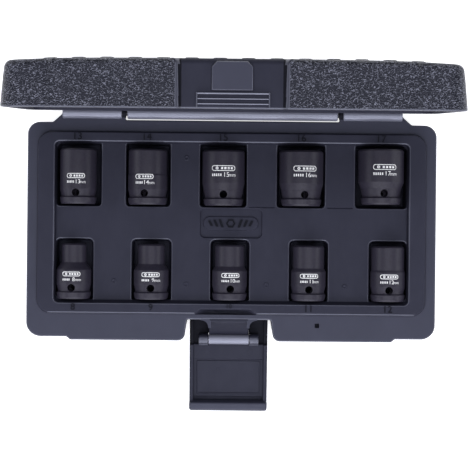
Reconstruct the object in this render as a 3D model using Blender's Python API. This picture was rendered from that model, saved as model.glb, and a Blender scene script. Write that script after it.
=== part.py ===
"""Impact socket set in a blow-moulded case: ten 3/8 in drive sockets, 8 to 17 mm.

Origin: centre of the base's underside.  +X along the case's width, +Y to the
hinge side, +Z up.  The case lies open: the lid stands upright on its hinge and
the latch lies forward on the table.
"""
import math

import bmesh
import bpy
from mathutils import Matrix, Vector

MM = 0.001

# --- case shell -----------------------------------------------------------
HALF_WIDTH = 111.5 * MM
FRONT_Y = -58.5 * MM
BACK_Y = 58.5 * MM
CORNER_R = 8.0 * MM
PANEL_HALF = 87.5 * MM
PANEL_PROUD = 1.7 * MM
DRAFT = 0.095
BASE_H = 24.0 * MM
LID_H = 24.4 * MM
PARTING_GAP = 0.3 * MM
WALL = 2.0 * MM
GAP = 0.3 * MM

# --- base tray ------------------------------------------------------------
RING_HALF = 106.3 * MM
RING_FRONT = -46.0 * MM
RING_BACK = 53.8 * MM
RING_Z = BASE_H + 3.0 * MM
TRAY_HALF = 96.3 * MM
TRAY_FRONT = -38.9 * MM
TRAY_BACK = 47.9 * MM
TRAY_Z = BASE_H - 1.0 * MM
SOCKET_Z = TRAY_Z - 0.8 * MM
BLOW_HOLE = 2.2 * MM
BLOW_X = 47.0 * MM
BLOW_Y = -51.3 * MM

# --- lid ------------------------------------------------------------------
LID_RECESS_HALF = 107.1 * MM
LID_RECESS_FRONT = -46.8 * MM
LID_RECESS_BACK = 54.6 * MM
LID_RECESS_DEPTH = 13.0 * MM
LID_OPEN_ANGLE = 86.4
RIB_PITCH = 13.5 * MM
RIB_COUNT = 14
RIB_H = 0.8 * MM

# --- hinge ----------------------------------------------------------------
HINGE_Y = 63.6 * MM
HINGE_Z = BASE_H - 0.85 * MM
KNUCKLE_R = 3.25 * MM
FLARE_R = 6.0 * MM
BASE_KNUCKLE = (60.3 * MM, 92.6 * MM)
LID_KNUCKLE = 57.3 * MM
HINGE_PIN_R = 1.5 * MM
HINGE_PIN = (46.0 * MM, 91.2 * MM)

# --- latch ----------------------------------------------------------------
LATCH_X = -1.0 * MM
LATCH_Y = -59.9 * MM
LATCH_Z = 11.6 * MM
LATCH_HALF = 21.5 * MM
LATCH_LENGTH = 40.8 * MM
LATCH_TAIL = 10.0 * MM
LATCH_OUTER = -4.0 * MM
LATCH_RIB = 2.2 * MM
LATCH_SLOPE = 10.3
LATCH_KNUCKLE = (11.3 * MM, 16.5 * MM)
LATCH_KNUCKLE_R = 2.9 * MM
LATCH_PIN_R = 1.3 * MM
TONGUE_HALF = 10.65 * MM
TONGUE_R = 2.75 * MM
NOTCH_BACK = -48.5 * MM
NOTCH_HALF = (22.9 * MM, 25.4 * MM)
LID_NOTCH_FLOOR = -57.3 * MM
TAB_TOP = 22.5 * MM

# --- sockets --------------------------------------------------------------
SOCKET_LENGTH = 30.0 * MM
DRIVE_SQUARE = 9.7 * MM
DRIVE_DEPTH = 11.5 * MM
PIN_HOLE_R = 2.1 * MM
PIN_HOLE_S = 5.4 * MM
SIDES = 24

# size: (x, y, nut end diameter, drive end diameter, turn about its own axis)
SOCKETS = {
    8: (-85.8, -22.7, 13.5, 19.0, 4.0),
    9: (-43.6, -22.7, 14.5, 19.0, 0.0),
    10: (-0.9, -22.7, 16.0, 19.0, -3.0),
    11: (42.1, -22.7, 17.0, 19.0, 0.0),
    12: (85.5, -22.7, 18.0, 19.0, 0.0),
    13: (-83.8, 28.9, 20.0, 20.0, 4.0),
    14: (-46.0, 28.8, 21.0, 21.4, 8.0),
    15: (-4.7, 28.6, 23.0, 21.6, 0.0),
    16: (37.8, 28.8, 24.0, 22.0, -8.0),
    17: (81.3, 30.0, 25.0, 22.0, -5.0),
}

# size: (centre x, width) of the pocket that holds it
POCKETS = {
    8: (-85.8, 20.8),
    9: (-43.5, 21.2),
    10: (-0.8, 20.8),
    11: (42.1, 20.8),
    12: (85.7, 21.0),
    13: (-83.7, 24.8),
    14: (-45.7, 23.9),
    15: (-4.8, 25.2),
    16: (37.6, 25.9),
    17: (81.5, 28.4),
}
UPPER_POCKET = (12.9 * MM, 47.7 * MM)
LOWER_POCKET = (-38.7 * MM, -5.0 * MM)


def clear_scene():
    for obj in list(bpy.data.objects):
        bpy.data.objects.remove(obj, do_unlink=True)


def material(name, colour, roughness, metallic):
    mat = bpy.data.materials.new(name)
    mat.use_nodes = True
    shader = mat.node_tree.nodes["Principled BSDF"]
    shader.inputs["Base Color"].default_value = (*colour, 1.0)
    shader.inputs["Roughness"].default_value = roughness
    shader.inputs["Metallic"].default_value = metallic
    return mat


def new_object(name, bm):
    bmesh.ops.remove_doubles(bm, verts=bm.verts, dist=1e-7)
    bmesh.ops.recalc_face_normals(bm, faces=bm.faces)
    mesh = bpy.data.meshes.new(name)
    bm.to_mesh(mesh)
    bm.free()
    obj = bpy.data.objects.new(name, mesh)
    bpy.context.scene.collection.objects.link(obj)
    return obj


def loft(name, loops):
    """A closed solid through loops of equally many points, capped at both ends."""
    bm = bmesh.new()
    rings = [[bm.verts.new(p) for p in loop] for loop in loops]
    count = len(rings[0])
    for low, high in zip(rings, rings[1:]):
        for i in range(count):
            j = (i + 1) % count
            bm.faces.new((low[i], low[j], high[j], high[i]))
    bm.faces.new(list(reversed(rings[0])))
    bm.faces.new(rings[-1])
    return new_object(name, bm)


def ring_loft(name, loops):
    """A closed solid through loops whose last one joins the first, as on a tube."""
    bm = bmesh.new()
    rings = [[bm.verts.new(p) for p in loop] for loop in loops]
    count = len(rings[0])
    for low, high in zip(rings, rings[1:] + rings[:1]):
        for i in range(count):
            j = (i + 1) % count
            bm.faces.new((low[i], low[j], high[j], high[i]))
    return new_object(name, bm)


def rounded(x0, x1, y0, y1, r, z, steps=4):
    """A rounded rectangle at height z, counter-clockwise from the front right."""
    points = []
    centres = ((x1 - r, y0 + r), (x1 - r, y1 - r), (x0 + r, y1 - r), (x0 + r, y0 + r))
    for turn, (cx, cy) in enumerate(centres):
        for k in range(steps + 1):
            a = math.radians(-90 + 90 * turn + 90 * k / steps)
            points.append(Vector((cx + r * math.cos(a), cy + r * math.sin(a), z)))
    return points


def shell_outline(inset, z):
    """The case's outline at height z, drawn in by inset, with its raised front panel."""
    r = CORNER_R - inset * 0.6
    points = rounded(
        -HALF_WIDTH + inset, HALF_WIDTH - inset, FRONT_Y + inset, BACK_Y - inset, r, z
    )
    front = FRONT_Y + inset
    proud = front - PANEL_PROUD
    slope = 2.0 * MM
    for x, y in (
        (-PANEL_HALF - slope, front),
        (-PANEL_HALF, proud),
        (PANEL_HALF, proud),
        (PANEL_HALF + slope, front),
    ):
        points.append(Vector((x, y, z)))
    return points


def plain_outline(inset, z):
    return rounded(
        -HALF_WIDTH + inset,
        HALF_WIDTH - inset,
        FRONT_Y + inset,
        BACK_Y - inset,
        CORNER_R - inset * 0.6,
        z,
        3,
    )


def box(name, x0, x1, y0, y1, z0, z1):
    base = [Vector((x0, y0, z0)), Vector((x1, y0, z0)), Vector((x1, y1, z0)), Vector((x0, y1, z0))]
    rise = Vector((0, 0, z1 - z0))
    return loft(name, [base, [p + rise for p in base]])


def prism_x(name, x0, x1, points):
    """A polygon in the Y-Z plane, extruded along X."""
    loops = [[Vector((x, y, z)) for y, z in points] for x in (x0, x1)]
    return loft(name, loops)


def rod_x(name, x0, x1, y, z, r, sides=16):
    points = []
    for k in range(sides):
        a = math.tau * (k + 0.5) / sides
        points.append((y + r * math.cos(a), z + r * math.sin(a)))
    return prism_x(name, x0, x1, points)


def combine(target, tool, operation):
    mod = target.modifiers.new(operation.title(), "BOOLEAN")
    mod.operation = operation
    mod.solver = "EXACT"
    mod.object = tool
    bpy.context.view_layer.objects.active = target
    bpy.ops.object.modifier_apply(modifier=mod.name)
    bpy.data.objects.remove(tool, do_unlink=True)


def add(target, *tools):
    for tool in tools:
        combine(target, tool, "UNION")


def cut(target, *tools):
    for tool in tools:
        combine(target, tool, "DIFFERENCE")


def set_origin(obj, point):
    """Moves an object's origin to a world point and leaves its shape where it is."""
    obj.data.transform(Matrix.Translation(-Vector(point)))
    obj.location = point


def finish(obj, mat, smooth=True):
    obj.data.materials.clear()
    obj.data.materials.append(mat)
    if smooth:
        obj.data.shade_smooth()
        obj.data.set_sharp_from_angle(angle=math.radians(30))


def socket_radius(size):
    return max(SOCKETS[size][2], SOCKETS[size][3]) * MM / 2


def pocket_tool(size, grow):
    """The pocket for one socket, as a tapered box, grown on all sides but the top."""
    centre, width = (v * MM for v in POCKETS[size])
    y0, y1 = UPPER_POCKET if size > 12 else LOWER_POCKET
    floor = SOCKET_Z - socket_radius(size) - GAP - grow
    half = width / 2 + grow
    taper = 0.4 * MM
    top = RING_Z + 1 * MM
    r = 1.8 * MM
    steps = 2
    return loft(
        "pocket",
        [
            rounded(
                centre - half + taper,
                centre + half - taper,
                y0 - grow + taper,
                y1 + grow - taper,
                r,
                floor,
                steps,
            ),
            rounded(centre - half, centre + half, y0 - grow, y1 + grow, r, top, steps),
        ],
    )


def notch_tool(grow, z0, z1):
    """The slot in the front wall that the latch swings through."""
    back = NOTCH_BACK + grow
    front = FRONT_Y - 6 * MM
    near = NOTCH_HALF[0] + grow
    far = NOTCH_HALF[1] + grow
    loops = []
    for z in (z0, z1):
        loops.append(
            [
                Vector((LATCH_X - far, front, z)),
                Vector((LATCH_X + far, front, z)),
                Vector((LATCH_X + far, FRONT_Y - PANEL_PROUD, z)),
                Vector((LATCH_X + near, back, z)),
                Vector((LATCH_X - near, back, z)),
                Vector((LATCH_X - far, FRONT_Y - PANEL_PROUD, z)),
            ]
        )
    return loft("notch", loops)


def hinge_ledge():
    """The ledge behind the back wall, with a slot for the lid's knuckle."""
    half = []
    near, far = BASE_KNUCKLE
    for k in range(6):
        a = math.radians(270 - 18 * k)
        half.append((far + FLARE_R + FLARE_R * math.cos(a), BACK_Y + FLARE_R + FLARE_R * math.sin(a)))
    half[-1] = (far, HINGE_Y)
    half += [(near, HINGE_Y), (near, HINGE_Y - KNUCKLE_R - 0.5 * MM)]
    half.insert(0, (far + FLARE_R, BACK_Y - 1.5 * MM))
    outline = half + [(-x, y) for x, y in reversed(half)]
    loops = []
    for z in (BASE_H - 5.0 * MM, BASE_H):
        loops.append([Vector((x, y, z)) for x, y in outline])
    return loft("ledge", loops)


def make_base():
    base = loft(
        "case_base",
        [
            shell_outline(DRAFT * BASE_H + 1.6 * MM, 0.0),
            shell_outline(DRAFT * BASE_H + 0.2 * MM, 1.4 * MM),
            shell_outline(0.0, BASE_H),
        ],
    )
    ring = loft(
        "ring",
        [
            rounded(-RING_HALF, RING_HALF, RING_FRONT, RING_BACK, 8 * MM, BASE_H - 2 * MM),
            rounded(
                -RING_HALF + 0.7 * MM,
                RING_HALF - 0.7 * MM,
                RING_FRONT + 0.7 * MM,
                RING_BACK - 0.7 * MM,
                7.5 * MM,
                RING_Z,
            ),
        ],
    )
    add(base, ring)
    cut(base, notch_tool(0.0, -1 * MM, BASE_H + 5 * MM))

    # hinge: a ledge with flared ends that carries the two outer knuckles
    add(base, hinge_ledge())
    for side in (-1, 1):
        x0, x1 = sorted((side * BASE_KNUCKLE[0], side * BASE_KNUCKLE[1]))
        add(base, rod_x("barrel", x0, x1, HINGE_Y, HINGE_Z, KNUCKLE_R))

    # latch tongue: a gusset in the notch that ends in a horizontal barrel
    gusset = prism_x(
        "gusset",
        LATCH_X - TONGUE_HALF,
        LATCH_X + TONGUE_HALF,
        [
            (NOTCH_BACK + 1 * MM, BASE_H - 0.6 * MM),
            (NOTCH_BACK + 1 * MM, 3.0 * MM),
            (LATCH_Y + 0.6 * MM, LATCH_Z - TONGUE_R + 0.1 * MM),
            (LATCH_Y - 2.1 * MM, LATCH_Z + 1.5 * MM),
            (NOTCH_BACK - 2.4 * MM, BASE_H - 1.0 * MM),
        ],
    )
    barrel = rod_x(
        "barrel", LATCH_X - TONGUE_HALF, LATCH_X + TONGUE_HALF, LATCH_Y, LATCH_Z, TONGUE_R
    )
    add(gusset, barrel)
    add(base, gusset)

    tray = loft(
        "tray",
        [
            rounded(
                -TRAY_HALF + 0.8 * MM,
                TRAY_HALF - 0.8 * MM,
                TRAY_FRONT + 0.8 * MM,
                TRAY_BACK - 0.8 * MM,
                3 * MM,
                TRAY_Z,
                3,
            ),
            rounded(
                -TRAY_HALF,
                TRAY_HALF,
                TRAY_FRONT,
                TRAY_BACK,
                3.5 * MM,
                RING_Z + 1 * MM,
                3,
            ),
        ],
    )
    cut(base, tray)
    for size in sorted(SOCKETS):
        cut(base, pocket_tool(size, 0.0))

    # the space between the two skins, kept clear of the pockets and the notch
    cavity = loft(
        "cavity",
        [
            plain_outline(DRAFT * BASE_H + WALL + 0.6 * MM, WALL),
            plain_outline(WALL + 0.4 * MM, TRAY_Z - WALL),
        ],
    )
    for size in sorted(SOCKETS):
        cut(cavity, pocket_tool(size, WALL * 0.9))
    cut(cavity, notch_tool(WALL, 0.0, BASE_H))
    cut(base, cavity)
    cut(
        base,
        box(
            "blow_hole",
            BLOW_X - BLOW_HOLE / 2,
            BLOW_X + BLOW_HOLE / 2,
            BLOW_Y - BLOW_HOLE / 2,
            BLOW_Y + BLOW_HOLE / 2,
            TRAY_Z - WALL - 1 * MM,
            BASE_H + 1 * MM,
        ),
    )
    for side in (-1, 1):
        x0, x1 = sorted((side * (BASE_KNUCKLE[0] - 1 * MM), side * (BASE_KNUCKLE[1] + 1 * MM)))
        cut(base, rod_x("bore", x0, x1, HINGE_Y, HINGE_Z, HINGE_PIN_R + GAP))
    cut(
        base,
        rod_x(
            "bore",
            LATCH_X - TONGUE_HALF - 1 * MM,
            LATCH_X + TONGUE_HALF + 1 * MM,
            LATCH_Y,
            LATCH_Z,
            LATCH_PIN_R + GAP,
        ),
    )
    return base


def make_lid():
    """The lid, drawn shut on the base, then swung open about the hinge."""
    z0 = BASE_H + PARTING_GAP
    top = z0 + LID_H - RIB_H
    lid = loft(
        "case_lid",
        [
            shell_outline(0.0, z0),
            shell_outline(DRAFT * LID_H * 0.9, top - 1.8 * MM),
            shell_outline(DRAFT * LID_H + 0.6 * MM, top - 0.5 * MM),
            shell_outline(DRAFT * LID_H + 2.0 * MM, top),
        ],
    )
    for k in range(RIB_COUNT):
        x = (k - (RIB_COUNT - 1) / 2) * RIB_PITCH
        low = rounded(x - 4 * MM, x + 4 * MM, -46 * MM, 46 * MM, 3 * MM, top - 1 * MM, 2)
        high = rounded(x - 3 * MM, x + 3 * MM, -45 * MM, 45 * MM, 2.5 * MM, top + RIB_H, 2)
        add(lid, loft("rib", [low, high]))

    slab = box("slab", -LID_KNUCKLE, LID_KNUCKLE, BACK_Y - 2 * MM, HINGE_Y, z0, z0 + 2.2 * MM)
    barrel = rod_x("barrel", -LID_KNUCKLE, LID_KNUCKLE, HINGE_Y, HINGE_Z, KNUCKLE_R)
    add(slab, barrel)
    add(lid, slab)

    depth = LID_RECESS_DEPTH
    lean = 1.2 * MM

    def recess(grow, z):
        s = 0.0 if z <= z0 else lean
        return rounded(
            -LID_RECESS_HALF + s - grow,
            LID_RECESS_HALF - s + grow,
            LID_RECESS_FRONT + s - grow,
            LID_RECESS_BACK - s + grow,
            8 * MM,
            z,
        )

    cut(lid, loft("recess", [recess(0.0, z0 - 1 * MM), recess(0.0, z0 + depth)]))

    # latch bay in the front wall, with the tab that the latch hooks over
    far = NOTCH_HALF[1]
    near = 23.6 * MM
    floor = LID_NOTCH_FLOOR
    loops = []
    for z, back in ((z0 - 1 * MM, floor), (top + 2 * MM, floor + 1.3 * MM)):
        loops.append(
            [
                Vector((LATCH_X - far, FRONT_Y - 6 * MM, z)),
                Vector((LATCH_X + far, FRONT_Y - 6 * MM, z)),
                Vector((LATCH_X + far, FRONT_Y - PANEL_PROUD, z)),
                Vector((LATCH_X + near, back, z)),
                Vector((LATCH_X - near, back, z)),
                Vector((LATCH_X - far, FRONT_Y - PANEL_PROUD, z)),
            ]
        )
    cut(lid, loft("bay", loops))
    tab_top = z0 + TAB_TOP
    face = floor - 1.8 * MM
    outline = ((-9.8, 13.8), (9.8, 13.8), (9.8, 2.6), (7.2, 0.0), (-7.2, 0.0), (-9.8, 2.6))
    loops = []
    for y in (floor + 2 * MM, face):
        loops.append([Vector((LATCH_X + x * MM, y, tab_top - d * MM)) for x, d in outline])
    add(lid, loft("tab", loops))
    for z in (0.8 * MM, 3.6 * MM, 6.4 * MM):
        add(
            lid,
            box(
                "grip",
                LATCH_X - 17.5 * MM,
                LATCH_X + 17.5 * MM,
                floor - 0.9 * MM,
                floor + 1.5 * MM,
                z0 + z,
                z0 + z + 1.3 * MM,
            ),
        )

    # the space between the two skins and the blow hole that opens it
    inner = z0 + depth + WALL
    outer = top - WALL
    cavity = loft(
        "cavity",
        [
            plain_outline(DRAFT * LID_H + WALL, inner),
            plain_outline(DRAFT * LID_H + WALL + 1.6 * MM, outer),
        ],
    )
    cut(
        cavity,
        box(
            "keep",
            LATCH_X - far - WALL,
            LATCH_X + far + WALL,
            FRONT_Y - 8 * MM,
            floor + 3.4 * MM,
            z0,
            top + 2 * MM,
        ),
    )
    cut(lid, cavity)
    cut(
        lid,
        box(
            "blow_hole",
            BLOW_X - BLOW_HOLE / 2,
            BLOW_X + BLOW_HOLE / 2,
            BLOW_Y - BLOW_HOLE / 2,
            BLOW_Y + BLOW_HOLE / 2,
            z0 - 1 * MM,
            inner + 1 * MM,
        ),
    )
    for side in (-1, 1):
        x0, x1 = sorted((side * (HINGE_PIN[0] - 0.5 * MM), side * (LID_KNUCKLE + 1 * MM)))
        cut(lid, rod_x("bore", x0, x1, HINGE_Y, HINGE_Z, HINGE_PIN_R + GAP))
    set_origin(lid, (0.0, HINGE_Y, HINGE_Z))
    lid.rotation_euler.x = -math.radians(LID_OPEN_ANGLE)
    return lid


def make_hinge_pin(name, side):
    x0, x1 = sorted((side * HINGE_PIN[0], side * HINGE_PIN[1]))
    pin = rod_x(name, x0, x1, HINGE_Y, HINGE_Z, HINGE_PIN_R)
    set_origin(pin, (0.0, HINGE_Y, HINGE_Z))
    return pin


def make_latch():
    """The latch, drawn upright with its pivot at the origin, then laid open."""
    inner = LATCH_HALF - LATCH_RIB
    outer = LATCH_OUTER
    section = [
        (outer + 0.8 * MM, -LATCH_TAIL),
        (-1.9 * MM, -LATCH_TAIL),
        (-1.9 * MM, 0.0),
        (-1.3 * MM, 3.1 * MM),
        (-1.3 * MM, 11.5 * MM),
        (-1.9 * MM, 12.1 * MM),
        (-1.9 * MM, 32.4 * MM),
        (-2.7 * MM, 32.8 * MM),
        (-2.7 * MM, 34.6 * MM),
        (-0.6 * MM, 35.2 * MM),
        (0.2 * MM, 35.6 * MM),
        (2.3 * MM, 35.6 * MM),
        (2.3 * MM, 38.6 * MM),
        (1.2 * MM, LATCH_LENGTH),
        (outer + 1.4 * MM, LATCH_LENGTH),
        (outer, LATCH_LENGTH - 1.4 * MM),
        (outer, -LATCH_TAIL + 0.8 * MM),
    ]
    latch = prism_x("latch", -inner - 0.2 * MM, inner + 0.2 * MM, section)
    for side in (-1, 1):
        x0, x1 = sorted((side * inner, side * LATCH_HALF))
        rib = prism_x(
            "rib",
            x0,
            x1,
            [
                (outer + 0.8 * MM, -LATCH_TAIL),
                (-0.8 * MM, -LATCH_TAIL),
                (0.4 * MM, -LATCH_TAIL + 1.5 * MM),
                (0.4 * MM, LATCH_LENGTH - 1.2 * MM),
                (-0.6 * MM, LATCH_LENGTH),
                (outer + 1.4 * MM, LATCH_LENGTH),
                (outer, LATCH_LENGTH - 1.4 * MM),
                (outer, -LATCH_TAIL + 0.8 * MM),
            ],
        )
        add(latch, rib)
        x0, x1 = sorted((side * LATCH_KNUCKLE[0], side * LATCH_KNUCKLE[1]))
        web = box("web", x0, x1, outer + 0.4 * MM, 0.0, -2.6 * MM, 2.6 * MM)
        add(latch, web)
        add(latch, rod_x("knuckle", x0, x1, 0.0, 0.0, LATCH_KNUCKLE_R))
    gap = LATCH_KNUCKLE[0]
    cut(latch, box("mouth", -gap, gap, outer - 1 * MM, 4 * MM, -LATCH_TAIL - 1 * MM, 3.1 * MM))
    x1 = LATCH_KNUCKLE[1] + 0.4 * MM
    cut(latch, rod_x("bore", -x1, x1, 0.0, 0.0, LATCH_PIN_R + GAP))
    latch.location = (LATCH_X, LATCH_Y, LATCH_Z)
    latch.rotation_euler.x = math.radians(90 + LATCH_SLOPE)
    return latch


def make_latch_pin():
    half = LATCH_KNUCKLE[1] - 0.2 * MM
    pin = rod_x("latch_pin", LATCH_X - half, LATCH_X + half, LATCH_Y, LATCH_Z, LATCH_PIN_R, 12)
    set_origin(pin, (LATCH_X, LATCH_Y, LATCH_Z))
    return pin


def polygon_radius(angle, corners, across, phase):
    """How far a regular polygon, given across its flats, reaches at an angle."""
    step = math.tau / corners
    off = (angle - phase) % step - step / 2
    return across / 2 / math.cos(off)


def socket_loop(s, radius_at):
    """A loop round the socket's axis, s from its drive end, for a radius function."""
    points = []
    for k in range(SIDES):
        a = math.tau * k / SIDES
        r = radius_at(a)
        points.append(Vector((r * math.cos(a), s - SOCKET_LENGTH / 2, -r * math.sin(a))))
    return points


def make_socket(size):
    x, y, nut_d, drive_d, turn = SOCKETS[size]
    r1 = nut_d * MM / 2
    r2 = drive_d * MM / 2
    length = SOCKET_LENGTH
    if r1 <= r2:
        taper = (15.8 * MM, 15.8 * MM + 0.6 * MM + 1.25 * (r2 - r1))
    else:
        taper = (8.6 * MM, 12.2 * MM)
    groove = r2 - 0.7 * MM
    outer = [
        (0.0, r2 - 0.6 * MM),
        (0.6 * MM, r2),
        (3.1 * MM, r2),
        (3.5 * MM, groove),
        (7.0 * MM, groove),
        (7.4 * MM, r2),
        (taper[0], r2),
        (taper[1], r1),
        (length - 0.6 * MM, r1),
        (length, r1 - 0.6 * MM),
    ]
    if r1 == r2:
        outer = [p for p in outer if p[0] not in taper]
    across = size * MM + 0.2 * MM
    hex_depth = (8.0 + 0.35 * size) * MM
    bore = min(8.4 * MM, across - 1.0 * MM) / 2

    def square(a):
        return polygon_radius(a, 4, DRIVE_SQUARE, math.radians(45))

    def hexagon(a):
        return polygon_radius(a, 6, across, 0.0)

    loops = [socket_loop(s, lambda a, r=r: r) for s, r in outer]
    loops += [
        socket_loop(length, hexagon),
        socket_loop(length - hex_depth, hexagon),
        socket_loop(length - hex_depth, lambda a: bore),
        socket_loop(DRIVE_DEPTH, lambda a: bore),
        socket_loop(DRIVE_DEPTH, square),
        socket_loop(0.0, square),
    ]
    socket = ring_loft(f"socket_{size:02d}", loops)
    hole = []
    for z in (-r2 - 1 * MM, r2 + 1 * MM):
        loop = []
        for k in range(12):
            a = math.tau * (k + 0.5) / 12
            hx = PIN_HOLE_R * math.cos(a)
            hy = PIN_HOLE_R * math.sin(a) + PIN_HOLE_S - length / 2
            loop.append(Vector((hx, hy, z)))
        hole.append(loop)
    cut(socket, loft("hole", hole))
    socket.location = (x * MM, y * MM, SOCKET_Z)
    socket.rotation_euler.y = -math.radians(turn)
    return socket


clear_scene()
plastic = material("case_plastic", (0.042, 0.044, 0.062), 0.62, 0.0)
latch_plastic = material("latch_plastic", (0.045, 0.047, 0.064), 0.55, 0.0)
pin_steel = material("pin_steel", (0.42, 0.43, 0.45), 0.35, 1.0)
phosphate = material("phosphate_steel", (0.050, 0.047, 0.050), 0.48, 0.85)

finish(make_base(), plastic)
finish(make_lid(), plastic)
finish(make_hinge_pin("hinge_pin_left", -1), pin_steel)
finish(make_hinge_pin("hinge_pin_right", 1), pin_steel)
finish(make_latch(), latch_plastic)
finish(make_latch_pin(), pin_steel)
for socket_size in sorted(SOCKETS):
    finish(make_socket(socket_size), phosphate)
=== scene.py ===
import math

import bmesh
import bpy
import numpy as np
from mathutils import Matrix, Vector, geometry


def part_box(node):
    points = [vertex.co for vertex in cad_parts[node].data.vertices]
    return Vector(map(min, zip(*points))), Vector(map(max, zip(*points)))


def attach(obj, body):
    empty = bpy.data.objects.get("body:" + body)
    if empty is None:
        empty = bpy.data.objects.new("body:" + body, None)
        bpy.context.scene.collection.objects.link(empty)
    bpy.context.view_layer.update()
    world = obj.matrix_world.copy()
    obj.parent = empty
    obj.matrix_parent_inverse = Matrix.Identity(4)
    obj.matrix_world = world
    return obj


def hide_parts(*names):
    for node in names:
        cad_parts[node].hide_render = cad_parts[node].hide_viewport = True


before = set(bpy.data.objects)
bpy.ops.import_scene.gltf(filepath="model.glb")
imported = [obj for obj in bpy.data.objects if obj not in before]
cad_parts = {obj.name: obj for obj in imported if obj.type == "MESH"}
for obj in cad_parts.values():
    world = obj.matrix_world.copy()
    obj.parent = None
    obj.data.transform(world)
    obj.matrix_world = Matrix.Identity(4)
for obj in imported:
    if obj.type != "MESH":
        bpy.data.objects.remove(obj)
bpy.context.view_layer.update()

# Everything below is drawn in millimetres, in the frame of the CAD model.
MM = 0.001


def cad_box(node):
    low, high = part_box(node)
    return np.array(low) / MM, np.array(high) / MM


# --- sizes shared with the CAD model ---------------------------------------
HALF_WIDTH = cad_box("case_base")[1][0]
BACK_Y = 58.5
FRONT_Y = -58.5
CORNER_R = 8.0
PANEL_HALF = 87.5
PANEL_PROUD = 1.7
PANEL_SLOPE = 2.0
DRAFT = 0.095
BASE_H = 24.0
LID_H = 24.4
LID_Z = BASE_H + 0.3
HINGE_Y = 63.6
HINGE_Z = BASE_H - 0.85
KNUCKLE_R = 3.25
BASE_KNUCKLE = (60.3, 92.6)
LID_KNUCKLE = 57.3
FLARE_R = 6.0
RING_Z = BASE_H + 3.0
TRAY_Z = BASE_H - 1.0
LATCH_X, LATCH_Y, LATCH_Z = -1.0, -59.9, 11.6
LATCH_HALF = 21.5
LATCH_LENGTH = 40.8
LATCH_TAIL = 10.9
LATCH_SLOPE = 10.3
NOTCH_BACK = -48.5
BAY_FLOOR = -57.3
LID_OPEN = 86.4
SOCKET_LENGTH = 30.0
SOCKET_Z = 22.2
PIN_HOLE_R = 2.1
PIN_HOLE_AT = 6.1
DRIVE_SQUARE = 9.7
DRIVE_DEPTH = 11.5

# size: (nut end diameter, drive end diameter, turn about its own axis)
SOCKETS = {
    8: (13.5, 19.0, 4.0),
    9: (14.5, 19.0, 0.0),
    10: (16.0, 19.0, -3.0),
    11: (17.0, 19.0, 0.0),
    12: (18.0, 19.0, 0.0),
    13: (20.0, 20.0, 4.0),
    14: (21.0, 21.4, 8.0),
    15: (23.0, 21.6, 0.0),
    16: (24.0, 22.0, -8.0),
    17: (25.0, 22.0, -5.0),
}
# size: (left edge, right edge) of its pocket at the tray floor
POCKETS = {
    8: (-95.5, -75.4),
    9: (-54.1, -32.9),
    10: (-11.2, 9.6),
    11: (31.7, 52.5),
    12: (75.2, 95.5),
    13: (-95.5, -71.3),
    14: (-57.65, -33.75),
    15: (-17.4, 7.8),
    16: (24.65, 50.55),
    17: (67.3, 95.5),
}
TRAY = (-95.5, 95.5, -38.1, 47.1)
UPPER_FRONT = 13.0
LOWER_BACK = -5.1


# --- outlines ---------------------------------------------------------------
def unit(v):
    return v / np.linalg.norm(v)


def filleted(corners, closed=True):
    """A polyline through (x, y, radius) corners, each rounded to its radius."""
    pts = [np.array(c[:2], float) for c in corners]
    out = []
    count = len(pts)
    for i, p in enumerate(pts):
        r = corners[i][2]
        if r <= 0 or (not closed and i in (0, count - 1)):
            out.append(p)
            continue
        back, ahead = pts[i - 1] - p, pts[(i + 1) % count] - p
        a, b = unit(back), unit(ahead)
        angle = math.acos(max(-1.0, min(1.0, float(a @ b))))
        reach = min(r / math.tan(angle / 2), 0.49 * min(np.linalg.norm(back), np.linalg.norm(ahead)))
        r = reach * math.tan(angle / 2)
        centre = p + unit(a + b) * (r / math.sin(angle / 2))
        start = p + a * reach - centre
        sweep = math.pi - angle
        if start[1] * a[0] - start[0] * a[1] < 0:
            sweep = -sweep
        steps = max(3, round(abs(sweep) * math.sqrt(r) * 3))
        for k in range(steps + 1):
            c, s = math.cos(sweep * k / steps), math.sin(sweep * k / steps)
            out.append(centre + (start[0] * c - start[1] * s, start[0] * s + start[1] * c))
    return np.array(out)


def inward(loop):
    """For each point, the step that draws a counter-clockwise loop in by one."""
    ahead = np.roll(loop, -1, 0) - loop
    ahead /= np.linalg.norm(ahead, axis=1)[:, None]
    after = np.stack([-ahead[:, 1], ahead[:, 0]], 1)
    before = np.roll(after, 1, 0)
    return (before + after) / (1 + (before * after).sum(1))[:, None]


def offset(loop, distance):
    return loop + inward(loop) * np.reshape(distance, (-1, 1))


def rect(x0, x1, y0, y1, radii):
    """A rounded rectangle; radii go round from the front right corner."""
    r = list(radii) if hasattr(radii, "__len__") else [radii] * 4
    return filleted([(x1, y0, r[0]), (x1, y1, r[1]), (x0, y1, r[2]), (x0, y0, r[3])])


def inside(points, loop):
    hit = np.zeros(len(points), bool)
    x, y = points[:, 0], points[:, 1]
    for (x0, y0), (x1, y1) in zip(loop, np.roll(loop, -1, 0)):
        if y0 == y1:
            continue
        crosses = (y0 > y) != (y1 > y)
        hit ^= crosses & (x < (x1 - x0) * (y - y0) / (y1 - y0) + x0)
    return hit


def circle(x, y, r, count):
    return np.array(
        [
            (x + r * math.cos(a), y + r * math.sin(a))
            for a in np.linspace(0, math.tau, count + 1)[:-1]
        ]
    )


def rise(r, top, steps=5):
    """(inset, height) pairs that round an edge off from its wall to its top."""
    turn = [math.pi / 2 * k / steps for k in range(steps + 1)]
    return [(r - r * math.cos(a), top - r + r * math.sin(a)) for a in turn]


def dip(r, top, steps=5):
    """(outset, height) pairs that round an edge off from a top into a hole."""
    turn = [math.pi / 2 * k / steps for k in range(steps + 1)]
    return [(r - r * math.sin(a), top - r + r * math.cos(a)) for a in turn]


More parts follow.
